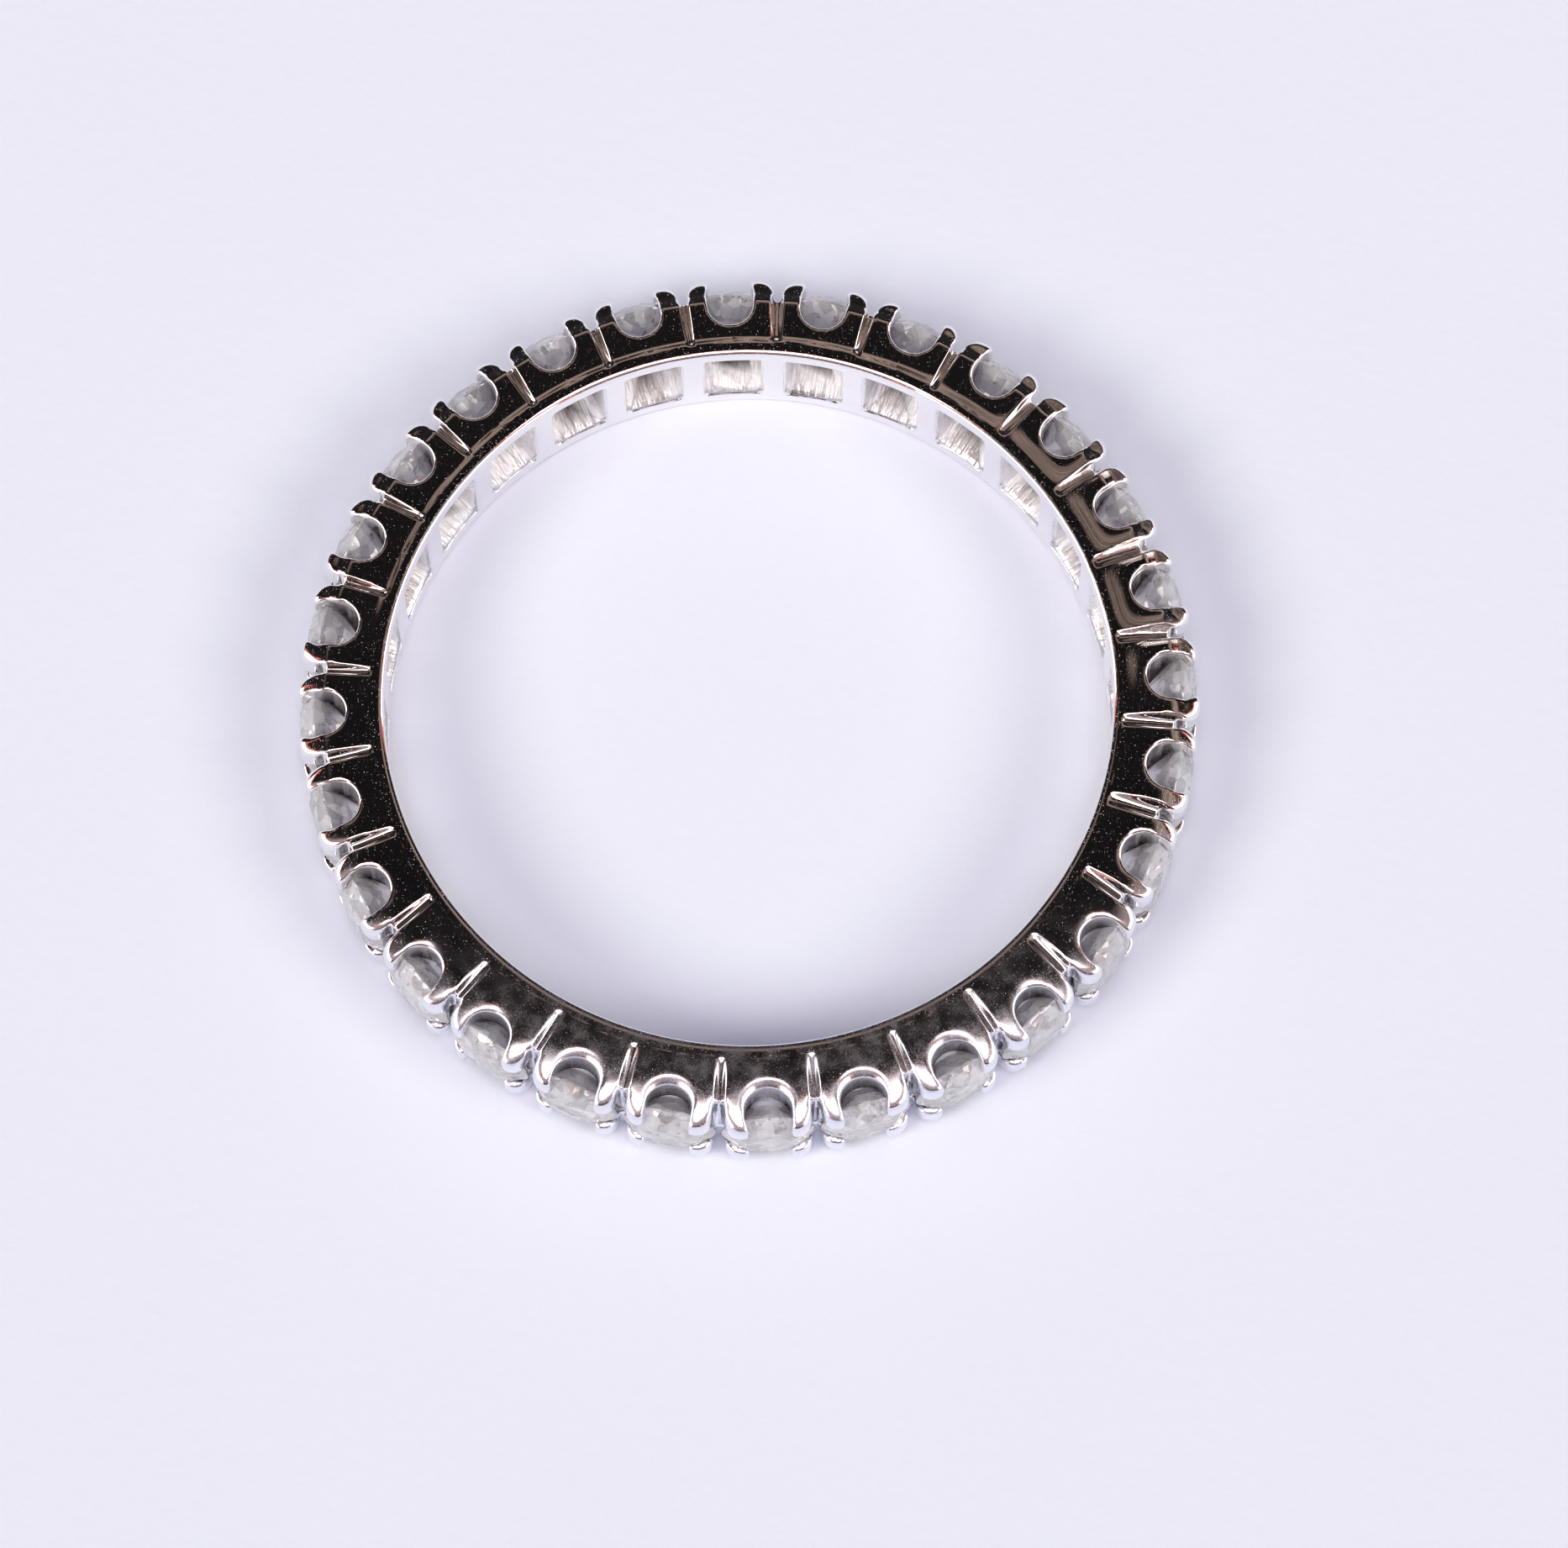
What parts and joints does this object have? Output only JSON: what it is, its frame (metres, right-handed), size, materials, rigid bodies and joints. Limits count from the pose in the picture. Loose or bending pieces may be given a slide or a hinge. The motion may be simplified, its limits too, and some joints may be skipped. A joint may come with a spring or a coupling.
{
  "type": "eternity ring",
  "caption": "Full eternity ring: a pierced, scalloped band of claw-set cells with a round brilliant stone in each.",
  "frame": {"origin": "middle of the finger bore, on the side face that the ring lies on", "axes": "+Z along the bore, up from the resting face; +X through the middle of the first stone"},
  "size_m": [0.021, 0.021, 0.003],
  "materials": {
    "white_gold": "polished, with fine scratches and file marks",
    "diamond": "polished facets, slightly milky"
  },
  "bodies": {
    "root": {"band": "white_gold", "stone_01": "diamond", "stone_02": "diamond", "stone_03": "diamond", "stone_04": "diamond", "stone_05": "diamond", "stone_06": "diamond", "stone_07": "diamond", "stone_08": "diamond", "stone_09": "diamond", "stone_10": "diamond", "stone_11": "diamond", "stone_12": "diamond", "stone_13": "diamond", "stone_14": "diamond", "stone_15": "diamond", "stone_16": "diamond", "stone_17": "diamond", "stone_18": "diamond", "stone_19": "diamond", "stone_20": "diamond", "stone_21": "diamond", "stone_22": "diamond", "stone_23": "diamond", "stone_24": "diamond", "stone_25": "diamond", "stone_26": "diamond", "stone_27": "diamond", "stone_28": "diamond"}
  },
  "joints": []
}
